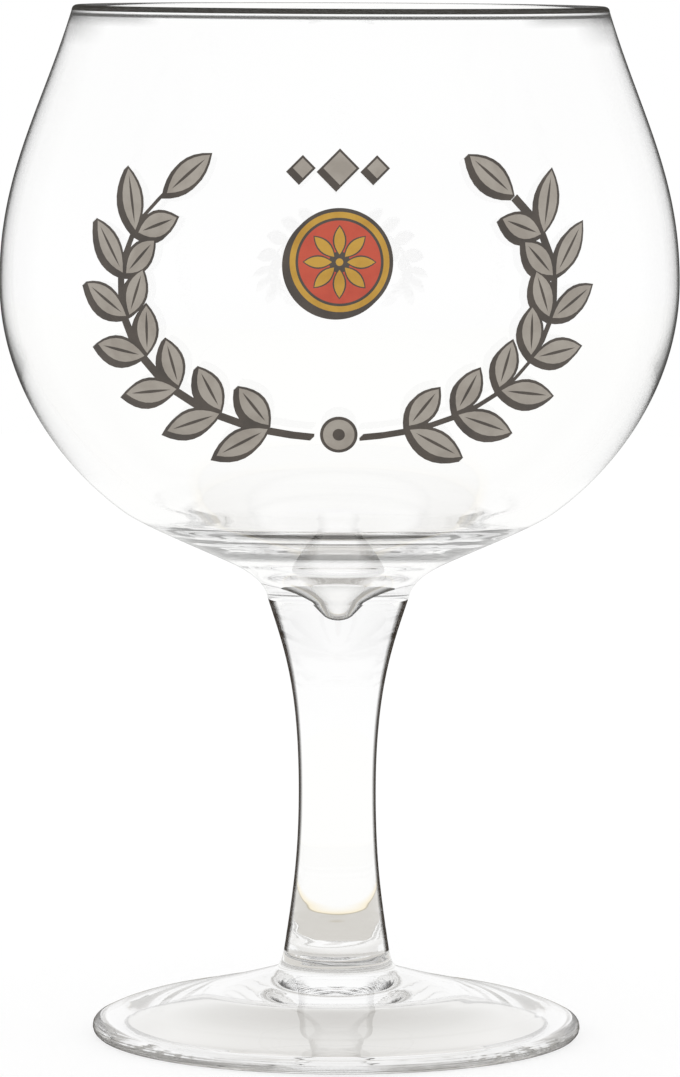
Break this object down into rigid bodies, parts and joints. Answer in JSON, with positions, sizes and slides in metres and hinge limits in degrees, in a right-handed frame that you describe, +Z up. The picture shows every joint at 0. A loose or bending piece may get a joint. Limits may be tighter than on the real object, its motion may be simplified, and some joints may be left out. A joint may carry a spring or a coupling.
{
  "type": "chalice beer glass",
  "caption": "Clear stemmed chalice beer glass: round blown bowl closing in at the mouth, solid waisted stem, spun foot, enamel wreath on the front.",
  "frame": {"origin": "on the table under the middle of the foot", "axes": "+Z up along the axis of the glass, and -Y out of its front, which the ornament faces"},
  "size_m": [0.104, 0.1041, 0.1585],
  "materials": {
    "clear_glass": "fire-polished clear soda-lime glass",
    "dark_enamel": "fired screen-printed enamel, dark brown",
    "grey_enamel": "fired screen-printed enamel, warm silver grey",
    "red_enamel": "fired screen-printed enamel, red",
    "gold_enamel": "fired screen-printed enamel, gold"
  },
  "bodies": {
    "root": {"foot": "clear_glass", "stem": "clear_glass", "bowl": "clear_glass", "left_spray_dark": "dark_enamel", "left_spray_grey": "grey_enamel", "right_spray_dark": "dark_enamel", "right_spray_grey": "grey_enamel", "knot_dark": "dark_enamel", "knot_grey": "grey_enamel", "medallion_dark": "dark_enamel", "medallion_red": "red_enamel", "medallion_gold": "gold_enamel", "lozenges_dark": "dark_enamel", "lozenges_grey": "grey_enamel"}
  },
  "joints": []
}
